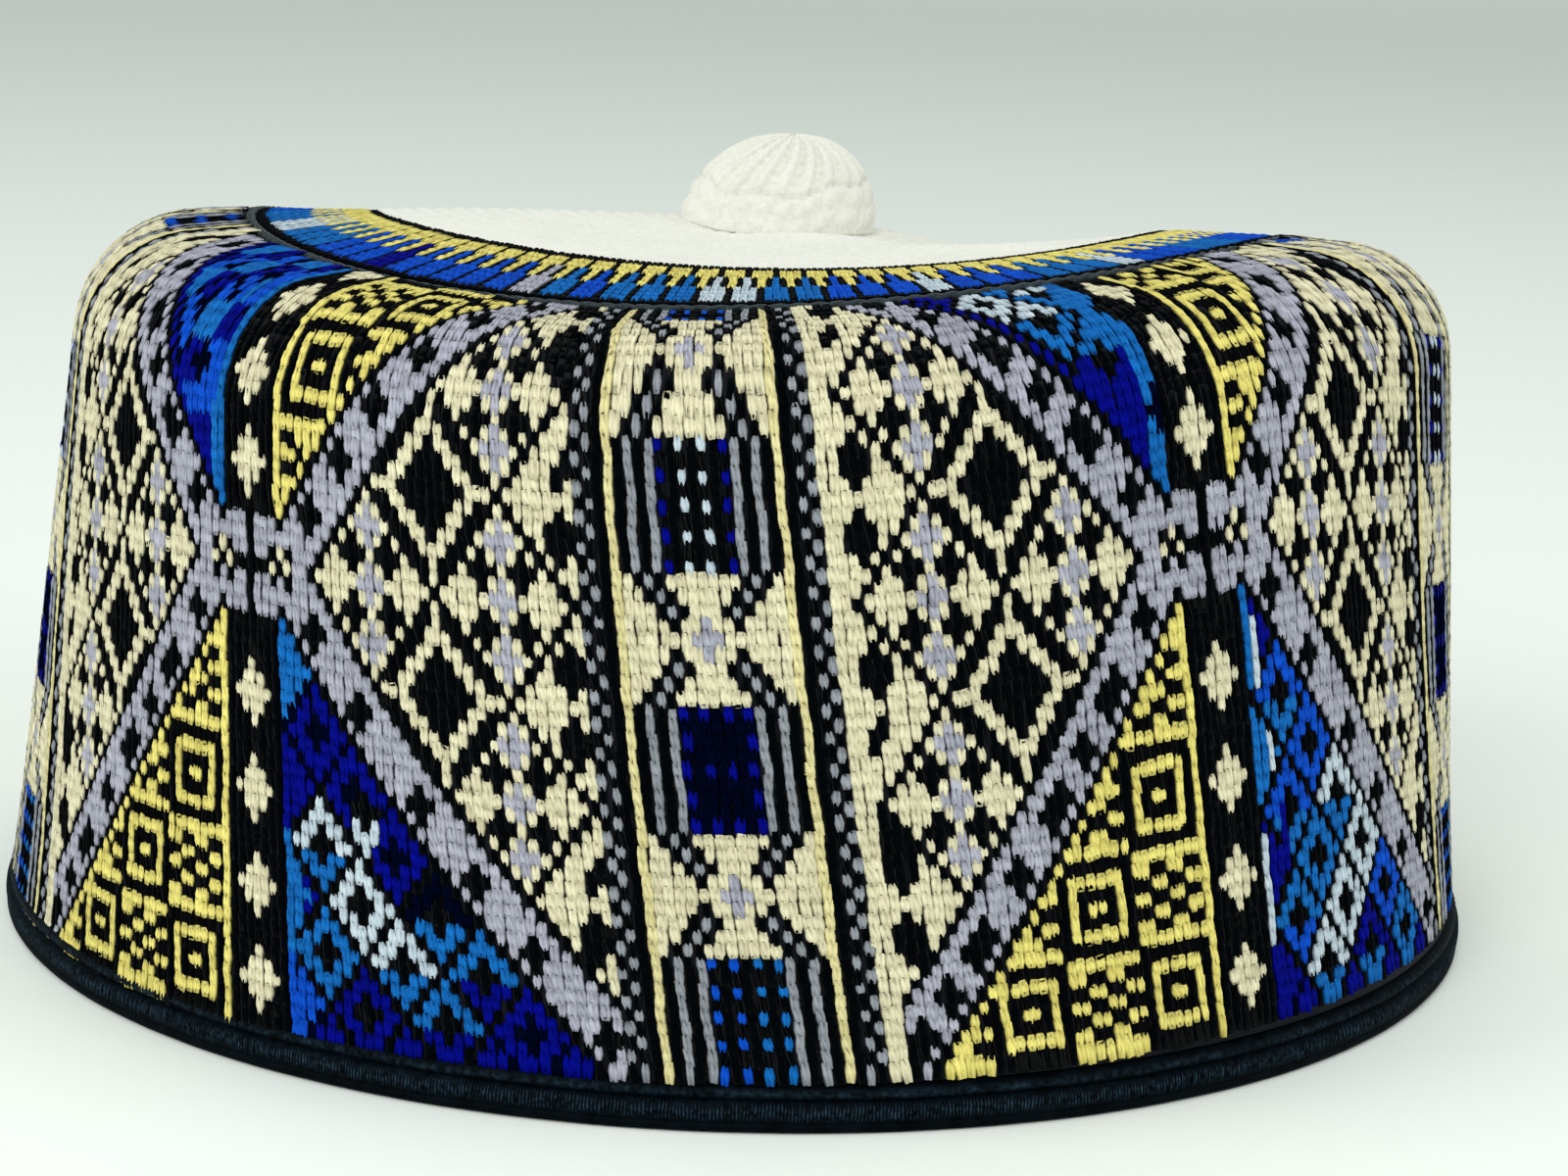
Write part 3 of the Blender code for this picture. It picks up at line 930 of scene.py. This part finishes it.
def hem_finish():
    """Blue-black thread. Fine upright threads catch the light on the satin roll, read from
    the hem's own UV map: u runs round the rim and v is the height, both in metres."""
    finish = Finish("hem_thread", rgb(6, 11, 16), 0.6, 0.02)
    u, v = finish.uv()
    mottle = finish.noise(420.0, 4.0)
    fibres = finish.noise(1500.0, 3.0)
    threads = ((u * 16000.0 + mottle * 9.0).sine() * 0.5 + 0.5) ** 2.0
    roll = ((v - ROLL_AT).absolute() * -900.0 + 1.0).above_zero()
    strip = ((v - STRIP_AT).absolute() * -1500.0 + 1.0).above_zero()
    glint = ((fibres - 0.38) * 3.2).above_zero()
    light = roll * threads * glint * 0.9 + strip * glint * mottle * 0.5
    finish.colour(light + mottle * 0.12 - 0.03, rgb(0, 1, 2), rgb(50, 74, 90))
    finish.bump(threads * roll + fibres * 0.6, 0.00010, 0.7)
    finish.roughness(mottle * 0.3 + 0.45)
    return finish.material


points, faces, uv = bound_hem()
hem = new_piece("bound_hem", points, faces, hem_finish(), "rim_binding", uv)
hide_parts("rim_binding")

# %% [markdown]
# ## The cord
# A dark cord is laid over the seam between wall and top. It is two strands twisted round
# each other, held down by small stitches.

# %% Twisted cord
def twisted_cord(strands, turns, around, ring):
    """Each strand is a tube whose centre circles the cord's own line while it goes round."""
    thickness = CORD_THICKNESS
    turn, angle = circle(around).T, circle(ring)
    middle = seam_height(turn) - CORD_LEDGE + thickness / 2 + GAP
    points, faces, uvs = [], [], []
    for k in range(strands):
        twist = turn * turns / 2 + math.pi * 2 * k / strands
        offset = thickness * 0.20
        r = CORD_RING_RADIUS + offset * np.cos(twist) + thickness * 0.34 * np.cos(angle)
        z = middle + offset * 0.6 * np.sin(twist) + thickness * 0.32 * np.sin(angle)
        points.append(place(turn + 0 * z, r, z).reshape(-1, 3))
        faces.append(grid_faces(around, ring, True, True) + k * around * ring)
        uvs.append(np.stack([turn * 30 + 0 * angle, angle + 0 * turn], -1).reshape(-1, 2))
    return np.concatenate(points), np.concatenate(faces), np.concatenate(uvs)


points, faces, uv = twisted_cord(strands=2, turns=190, around=1520, ring=6)
cord_thread = thread_finish("cord_thread", rgb(1, 3, 6), rgb(54, 64, 68), 0.05, 0.10)
cord = new_piece("crown_cord_twist", points, faces, cord_thread, "crown_cord", uv,
                 np.full(len(points), 0.6))
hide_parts("crown_cord")

# %% [markdown]
# ## The top band
# Between the cord and the white centre runs a narrow band. Its outer half has blocks of blue,
# pale blue and grey, and its inner half has yellow stitches like the teeth of a comb. It has
# its own small chart, four columns wide and eleven rows deep.

# %% Band surface and chart
BAND_REPEATS = 106
BAND_ROWS = 11
BAND_CHART = (
    # rows from the cord inwards, four columns each: b block, y yellow, k black
    "kkkk", "bbbk", "bbbk", "bbbk", "bbbk", "kbky", "kbky", "kbky", "ykyy", "ykyy", "kkkk",
)
FIRST_BLOCK = -20
BAND_RUNS = (
    # thread of the blocks from left to right, how many blocks in a run
    (SKY, 3), (BLUE, 3), (ROYAL, 1), (BLUE, 5), (GREY, 1), (SKY, 1), (BLUE, 1), (SKY, 3),
    (WHITE, 2), (SKY, 2), (BLUE, 3), (WHITE, 1), (BLUE, 3), (SKY, 3), (WHITE, 1), (BLUE, 3),
    (SKY, 3), (BLUE, 4),
)
BAND_EDGE = CORD_ROOM / (CORD_RING_RADIUS - CROWN_RADIUS)


def band_point(turn, share, lift):
    """Turn and share of the way from the cord to the white centre."""
    radius = CORD_RING_RADIUS + (CROWN_RADIUS - CORD_RING_RADIUS) * share
    z = seam_height(turn) + band_rise(turn) * share + lift
    return place(turn, radius, z)


def band_stitches(code):
    """Stitches of one kind on the band: the column and row of each, and its block's number."""
    rows, columns = np.nonzero(np.array([list(row) for row in BAND_CHART]) == code)
    block = np.arange(BAND_REPEATS)[:, None]
    column = (block * 4 + columns[None]).ravel().astype(float)
    row = np.tile(rows, BAND_REPEATS).astype(float)
    return column, row, np.repeat(np.arange(BAND_REPEATS), len(rows))


def lay_band(column, row, form, width, length, height, sunk, seed):
    """Copies the link on to the band, its length pointing at the middle of the cap."""
    rng = np.random.default_rng(seed)
    points = form[0]
    n = len(column)
    wide = width * (1 + rng.normal(0, 0.08, n))[:, None]
    long_ = length * (1 + rng.normal(0, 0.08, n))[:, None]
    c = column[:, None] + points[None, :, 0] * wide + rng.normal(0, 0.06, n)[:, None]
    r = row[:, None] + 0.5 + points[None, :, 1] * long_ + rng.normal(0, 0.06, n)[:, None]
    turn = c * 2 * math.pi / (BAND_REPEATS * 4)
    lift = points[None, :, 2] * height - sunk
    places = band_point(turn, BAND_EDGE + (0.985 - BAND_EDGE) * r / BAND_ROWS, lift)
    return (places.reshape(-1, 3), *copies(form, n, rng, points[None, :, 2] + 0 * c))


# %% Band pieces
TOOTH_SHAPE = (CHAIN_LINK, 0.64, 0.70, 0.00050, 0.00030)
BLOCK_SHAPE = (CHAIN_LINK, 0.62, 0.70, 0.00046, 0.00030)
BACKGROUND_SHAPE = (FLAT_LINK, 0.56, 0.62, 0.00036, 0.00030)


def band_piece(label, thread, column, row, shape, seed):
    """All the band's stitches of one kind and thread as a piece."""
    made = lay_band(column, row, *shape, seed)
    new_piece("band_" + label, *made[:2], finishes[thread], "top_band", *made[2:])


run_threads = np.concatenate([[thread] * count for thread, count in BAND_RUNS])
from_first = (np.arange(BAND_REPEATS) - FIRST_BLOCK) % BAND_REPEATS
block_thread = run_threads[from_first % len(run_threads)]
finishes = {row[0]: bpy.data.materials[row[1] + "_thread"] for row in THREADS}
band_piece("yellow", YELLOW, *band_stitches("y")[:2], TOOTH_SHAPE, 61)
column, row, block = band_stitches("b")
for thread in sorted(set(run_threads.tolist())):
    mine = block_thread[block] == thread
    band_piece("blocks_" + names[thread], thread, column[mine], row[mine], BLOCK_SHAPE, 62 + thread)
band_piece("black", BLACK, *band_stitches("k")[:2], BACKGROUND_SHAPE, 80)


def band_ground():
    """The band's cloth: a closed ring with flat upper and lower faces."""
    around = 240
    turn = circle(around)
    share = np.array([BAND_EDGE, 0.5, 0.988, 0.988, 0.5, BAND_EDGE])[:, None]
    lift = np.array([-1, -1, -1, 0, 0, 0])[:, None] * (TOP_CLOTH - GAP) - GAP
    points = band_point(turn + 0 * share, share + 0 * turn, lift[::-1])
    uv = np.stack([turn * 0.056 + 0 * share, share * 0.015 + 0 * turn], -1)
    return points, grid_faces(6, around, True, True), uv


points, faces, uv = band_ground()
band = new_piece("band_cloth", points, faces[:, ::-1], cloth_finish("band_cotton"), "top_band", uv)
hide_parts("top_band")

# %% [markdown]
# ## The white centre
# The middle of the top is white crochet, worked in rounds. Every stitch of a round is a small
# raised loop, so the surface is a disc whose height carries rows of bumps.

# %% Crochet centre
LOOP_LENGTH = 0.0026
YARN_SUNK = 0.0002


def crown_height(turn, radius):
    """The centre: its middle height, running to the band's edge with the square of the
    radius. The soft top stands a little higher on the left, and it is pressed down behind
    and to the right of the knot."""
    edge = seam_height(turn) + band_rise(turn)
    x, y = radius * np.sin(turn), -radius * np.cos(turn)
    pressed = CROWN_PRESSED * eased(x, 0.006, 0.020) * eased(y, -0.024, 0.014)
    raised = CROWN_RAISED * eased(-x, 0.002, 0.014)
    kept = 1 - np.clip(radius / CROWN_RADIUS, 0, 1) ** 6
    return (CROWN_MIDDLE_Z + (edge - CROWN_MIDDLE_Z) * (radius / CROWN_RADIUS) ** 2
            + (raised - pressed) * kept)


def crochet_centre(rounds, around, per_round):
    """Upper face: rounds of loops. The loop height is the product of a wave along the
    radius and a wave round the cap whose count follows the radius in steps."""
    edge = CROWN_RADIUS - GAP / 2
    levels = rounds * per_round
    share = np.linspace(0.0, 1.0, levels + 1)[1:][:, None]
    turn = circle(around)
    number = np.floor(share * rounds - 1e-6)
    within = share * rounds - number
    count = np.round((number + 0.5) * 2 * math.pi * edge / rounds / LOOP_LENGTH) + 4
    loop = np.abs(np.sin(turn * count / 2 + number * 1.3))
    swell = np.sin(np.clip(within, 0, 1) * math.pi)
    lift = 0.00028 * swell * (0.5 + 0.5 * loop) - 0.00016
    lift = lift * np.where(share > 0.995, 0.0, 1.0)
    radius = share * edge
    soft = 0.00035 * np.sin(4 * turn + 0.5) * np.sin(share * math.pi)
    upper = place(turn + 0 * radius, radius + 0 * turn, crown_height(turn, radius) + lift + soft)
    lower_share = np.array([1.0, 0.66, 0.33])[:, None]
    lower_radius = lower_share * edge
    lower = place(turn + 0 * lower_radius, lower_radius + 0 * turn,
                  crown_height(turn, lower_radius) - TOP_CLOTH)
    ring = np.concatenate([upper, lower])
    top = place(np.array([0.0]), np.array([0.0]), np.array([CROWN_MIDDLE_Z - YARN_SUNK]))
    low = place(np.array([0.0]), np.array([0.0]), np.array([CROWN_MIDDLE_Z - TOP_CLOTH]))
    points = np.concatenate([ring.reshape(-1, 3), top, low])
    return points, ring.shape[0], around


def disc_piece(name, points, levels, around, material, slot):
    """Quads between the rings and fans at both poles, all as triangles."""
    quads = grid_faces(levels, around, False, True)
    tris = np.concatenate([quads[:, [0, 2, 1]], quads[:, [0, 3, 2]]])
    k = np.arange(around)
    n = (k + 1) % around
    top, low = levels * around, levels * around + 1
    fan_top = np.stack([np.full(around, top), k, n], -1)
    last = (levels - 1) * around
    fan_low = np.stack([np.full(around, low), last + n, last + k], -1)
    return new_piece(name, points, np.concatenate([tris[:, ::-1], fan_top, fan_low]), material, slot)


def crochet_finish(name, bump):
    """Soft white cotton yarn with faint fibres, and painted shade that makes the hollows of the fibre
    bump slightly darker.
    """
    finish = Finish(name, rgb(238, 237, 230), 0.9, 0.15)
    finish.sheen(0.3, 0.5)
    fibres = finish.noise(1500.0, 4.0)
    slow = finish.noise(90.0, 2.0)
    finish.colour(fibres * 0.7 + slow * 0.4, rgb(186, 186, 174), rgb(232, 232, 222))
    finish.bump(fibres, bump, 0.8)
    return finish.material


white_yarn = crochet_finish("white_yarn", 0.00012)
points, levels, around = crochet_centre(rounds=22, around=440, per_round=4)
crown = disc_piece("crochet_centre", points, levels, around, white_yarn, "crown_centre")
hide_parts("crown_centre")

# %% [markdown]
# ## The knot
# On top sits a half ball of crochet, a little right of the middle. Bars of yarn fan out from
# its tip, and below a wavy seam lie rounds of loops.

# %% Crochet knot
KNOT_ANGLE = 1.62
KNOT_SEAM = 0.68


def crochet_knot(bars, around, levels):
    """A leaning half ball: the radius follows the sine of an angle and the height its cosine.
    Flat bars fan out from the tip as far as a wavy seam, and loops lie below the seam."""
    along = np.linspace(0.0, 1.0, levels + 1)[1:][:, None]
    angle = along * KNOT_ANGLE
    share_r, share_z = np.sin(angle), (np.cos(angle) + 0.049) / 1.049
    turn = circle(around)
    seam = KNOT_SEAM + 0.05 * np.sin(2 * turn + 2.2) + 0.025 * np.sin(7 * turn + 0.5)
    above = 1 / (1 + np.exp((along - seam) * 50))
    bar = 1 / (1 + np.exp(-9 * (np.cos((turn + 0.5 * along) * bars) - 0.1)))
    rungs = 0.5 + 0.5 * np.cos(along / 0.085 * 2 * math.pi)
    fan = np.clip(along * 4, 0, 1) * (bar + 0.35 * rungs * (1 - bar))
    loops = np.abs(np.sin(turn * bars * 0.5 + 9 * along + np.sin(3 * turn)))
    rounds = np.abs(np.sin((along - seam) / 0.16 * math.pi))
    lift = 0.00050 * (above * fan + (1 - above) * (0.4 + 0.6 * rounds * loops)) - 0.00030
    lift = lift - 0.00040 * bell(along, seam, 0.016)
    radius = np.maximum(KNOT_RADIUS * share_r + lift * np.clip(share_r * 2, 0, 1), 0.0)
    x_off = KNOT_SHIFT + KNOT_LEAN * share_z
    x = radius * np.sin(turn) + x_off
    y = -radius * np.cos(turn)
    seat = crown_height(np.arctan2(x, -y), np.hypot(x, y)) - YARN_SUNK
    top_z = CROWN_MIDDLE_Z + GAP + KNOT_HEIGHT - 0.0007
    z = seat * (1 - share_z) + top_z * share_z + lift * share_z * 0.8
    lean_x = SIDEWAYS_LEAN * CROWN_MIDDLE_Z
    upper = np.stack([x + lean_x, y + 0 * x, z + 0 * x], -1)
    inner = 0.5 * KNOT_RADIUS
    xi, yi = inner * np.sin(turn) + KNOT_SHIFT, -inner * np.cos(turn)
    zi = crown_height(np.arctan2(xi, -yi), np.hypot(xi, yi)) - YARN_SUNK
    ring = np.concatenate([upper, np.stack([xi + lean_x, yi, zi], -1)])
    top = np.array([[KNOT_SHIFT + KNOT_LEAN + lean_x, 0.0, top_z - 0.0003]])
    low = np.array([[KNOT_SHIFT + lean_x, 0.0, CROWN_MIDDLE_Z - YARN_SUNK]])
    return np.concatenate([ring.reshape(-1, 3), top, low]), ring.shape[0], around


points, levels, around = crochet_knot(bars=22, around=264, levels=52)
knot = disc_piece("crochet_knot", points, levels, around, crochet_finish("knot_yarn", 0.0002),
                  "top_knot")
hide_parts("top_knot")

# %% [markdown]
# ## Floor, light and camera
# The cap stands on a plain pale floor that runs up into a pale wall far behind it. One large
# soft light in front, one above, two at the sides and a pale sky light it evenly. The camera
# is set by the photograph's own view: a little above the cap, five rim radii away.

# %% Floor
def floor_sheet():
    """A wide flat sheet that curves up far behind the cap, as a grid of profile and width."""
    y = np.array([-3.0, 0.0, 2.0, 2.3, 2.5, 2.6, 2.6])[:, None]
    z = np.array([0.0, 0.0, 0.0, 0.06, 0.25, 0.6, 3.0])[:, None]
    x = np.linspace(-4.0, 4.0, 9)[None, :]
    return np.stack([x + 0 * y, y + 0 * x, z + 0 * x - 0.00002], -1)


floor_finish = Finish("pale_floor", rgb(238, 243, 238), 0.9, 0.05)
mesh = bpy.data.meshes.new("floor")
mesh.from_pydata(floor_sheet().reshape(-1, 3).tolist(), [],
                 grid_faces(7, 9, False, False).tolist())
mesh.shade_smooth()
mesh.materials.append(floor_finish.material)
floor = bpy.data.objects.new("floor", mesh)
bpy.context.scene.collection.objects.link(floor)


# %% Lights
def soft_light(name, place_at, aim, size, power):
    """A square white area light that looks at a point."""
    data = bpy.data.lights.new(name, "AREA")
    data.shape, data.size, data.energy = "SQUARE", size, power
    lamp = bpy.data.objects.new(name, data)
    lamp.location = place_at
    lamp.rotation_euler = (Vector(aim) - Vector(place_at)).to_track_quat("-Z", "Y").to_euler()
    bpy.context.scene.collection.objects.link(lamp)
    return lamp


soft_light("front_light", (-0.25, -1.1, 0.75), (0, 0, 0.05), 0.8, 8.6)
soft_light("left_light", (-1.1, -0.35, 0.45), (0, 0, 0.05), 0.7, 4.9)
soft_light("right_light", (1.1, -0.35, 0.45), (0, 0, 0.05), 0.7, 4.9)
soft_light("top_light", (0.0, 0.2, 1.3), (0, 0, 0.08), 0.9, 3.4)
world = bpy.data.worlds.new("pale_sky")
bpy.context.scene.world = world
world.use_nodes = True
world.node_tree.nodes["Background"].inputs["Color"].default_value = (0.88, 0.93, 0.90, 1.0)
world.node_tree.nodes["Background"].inputs["Strength"].default_value = 0.58
bpy.context.scene.view_settings.view_transform = "Standard"


# %% Camera
CAMERA_PLACE = (0.0, -0.46, 0.13711)
CAMERA_DOWN, CAMERA_ASIDE, CAMERA_ROLL = 0.20957, 0.01099, 0.03568
PHOTO_WIDTH = 1600
FOCAL_PIXELS = 3774.845


def photo_camera():
    """Axes from three angles: look down, look aside, then roll about the line of sight."""
    look = Vector((math.sin(CAMERA_ASIDE) * math.cos(CAMERA_DOWN),
                   math.cos(CAMERA_ASIDE) * math.cos(CAMERA_DOWN), -math.sin(CAMERA_DOWN)))
    side = look.cross(Vector((0, 0, 1))).normalized()
    up = side.cross(look)
    cr, sr = math.cos(CAMERA_ROLL), math.sin(CAMERA_ROLL)
    axis_x, axis_y = cr * side + sr * up, -sr * side + cr * up
    data = bpy.data.cameras.new("photo_camera")
    data.sensor_fit, data.sensor_width = "HORIZONTAL", 36.0
    data.lens = FOCAL_PIXELS * 36.0 / PHOTO_WIDTH
    data.clip_start = 0.01
    camera = bpy.data.objects.new("photo_camera", data)
    turned = Matrix((axis_x, axis_y, -look)).transposed().to_4x4()
    turned.translation = Vector(CAMERA_PLACE)
    camera.matrix_world = turned
    bpy.context.scene.collection.objects.link(camera)
    bpy.context.scene.camera = camera
    return camera


camera = photo_camera()
print("camera lens %.2f mm" % camera.data.lens)
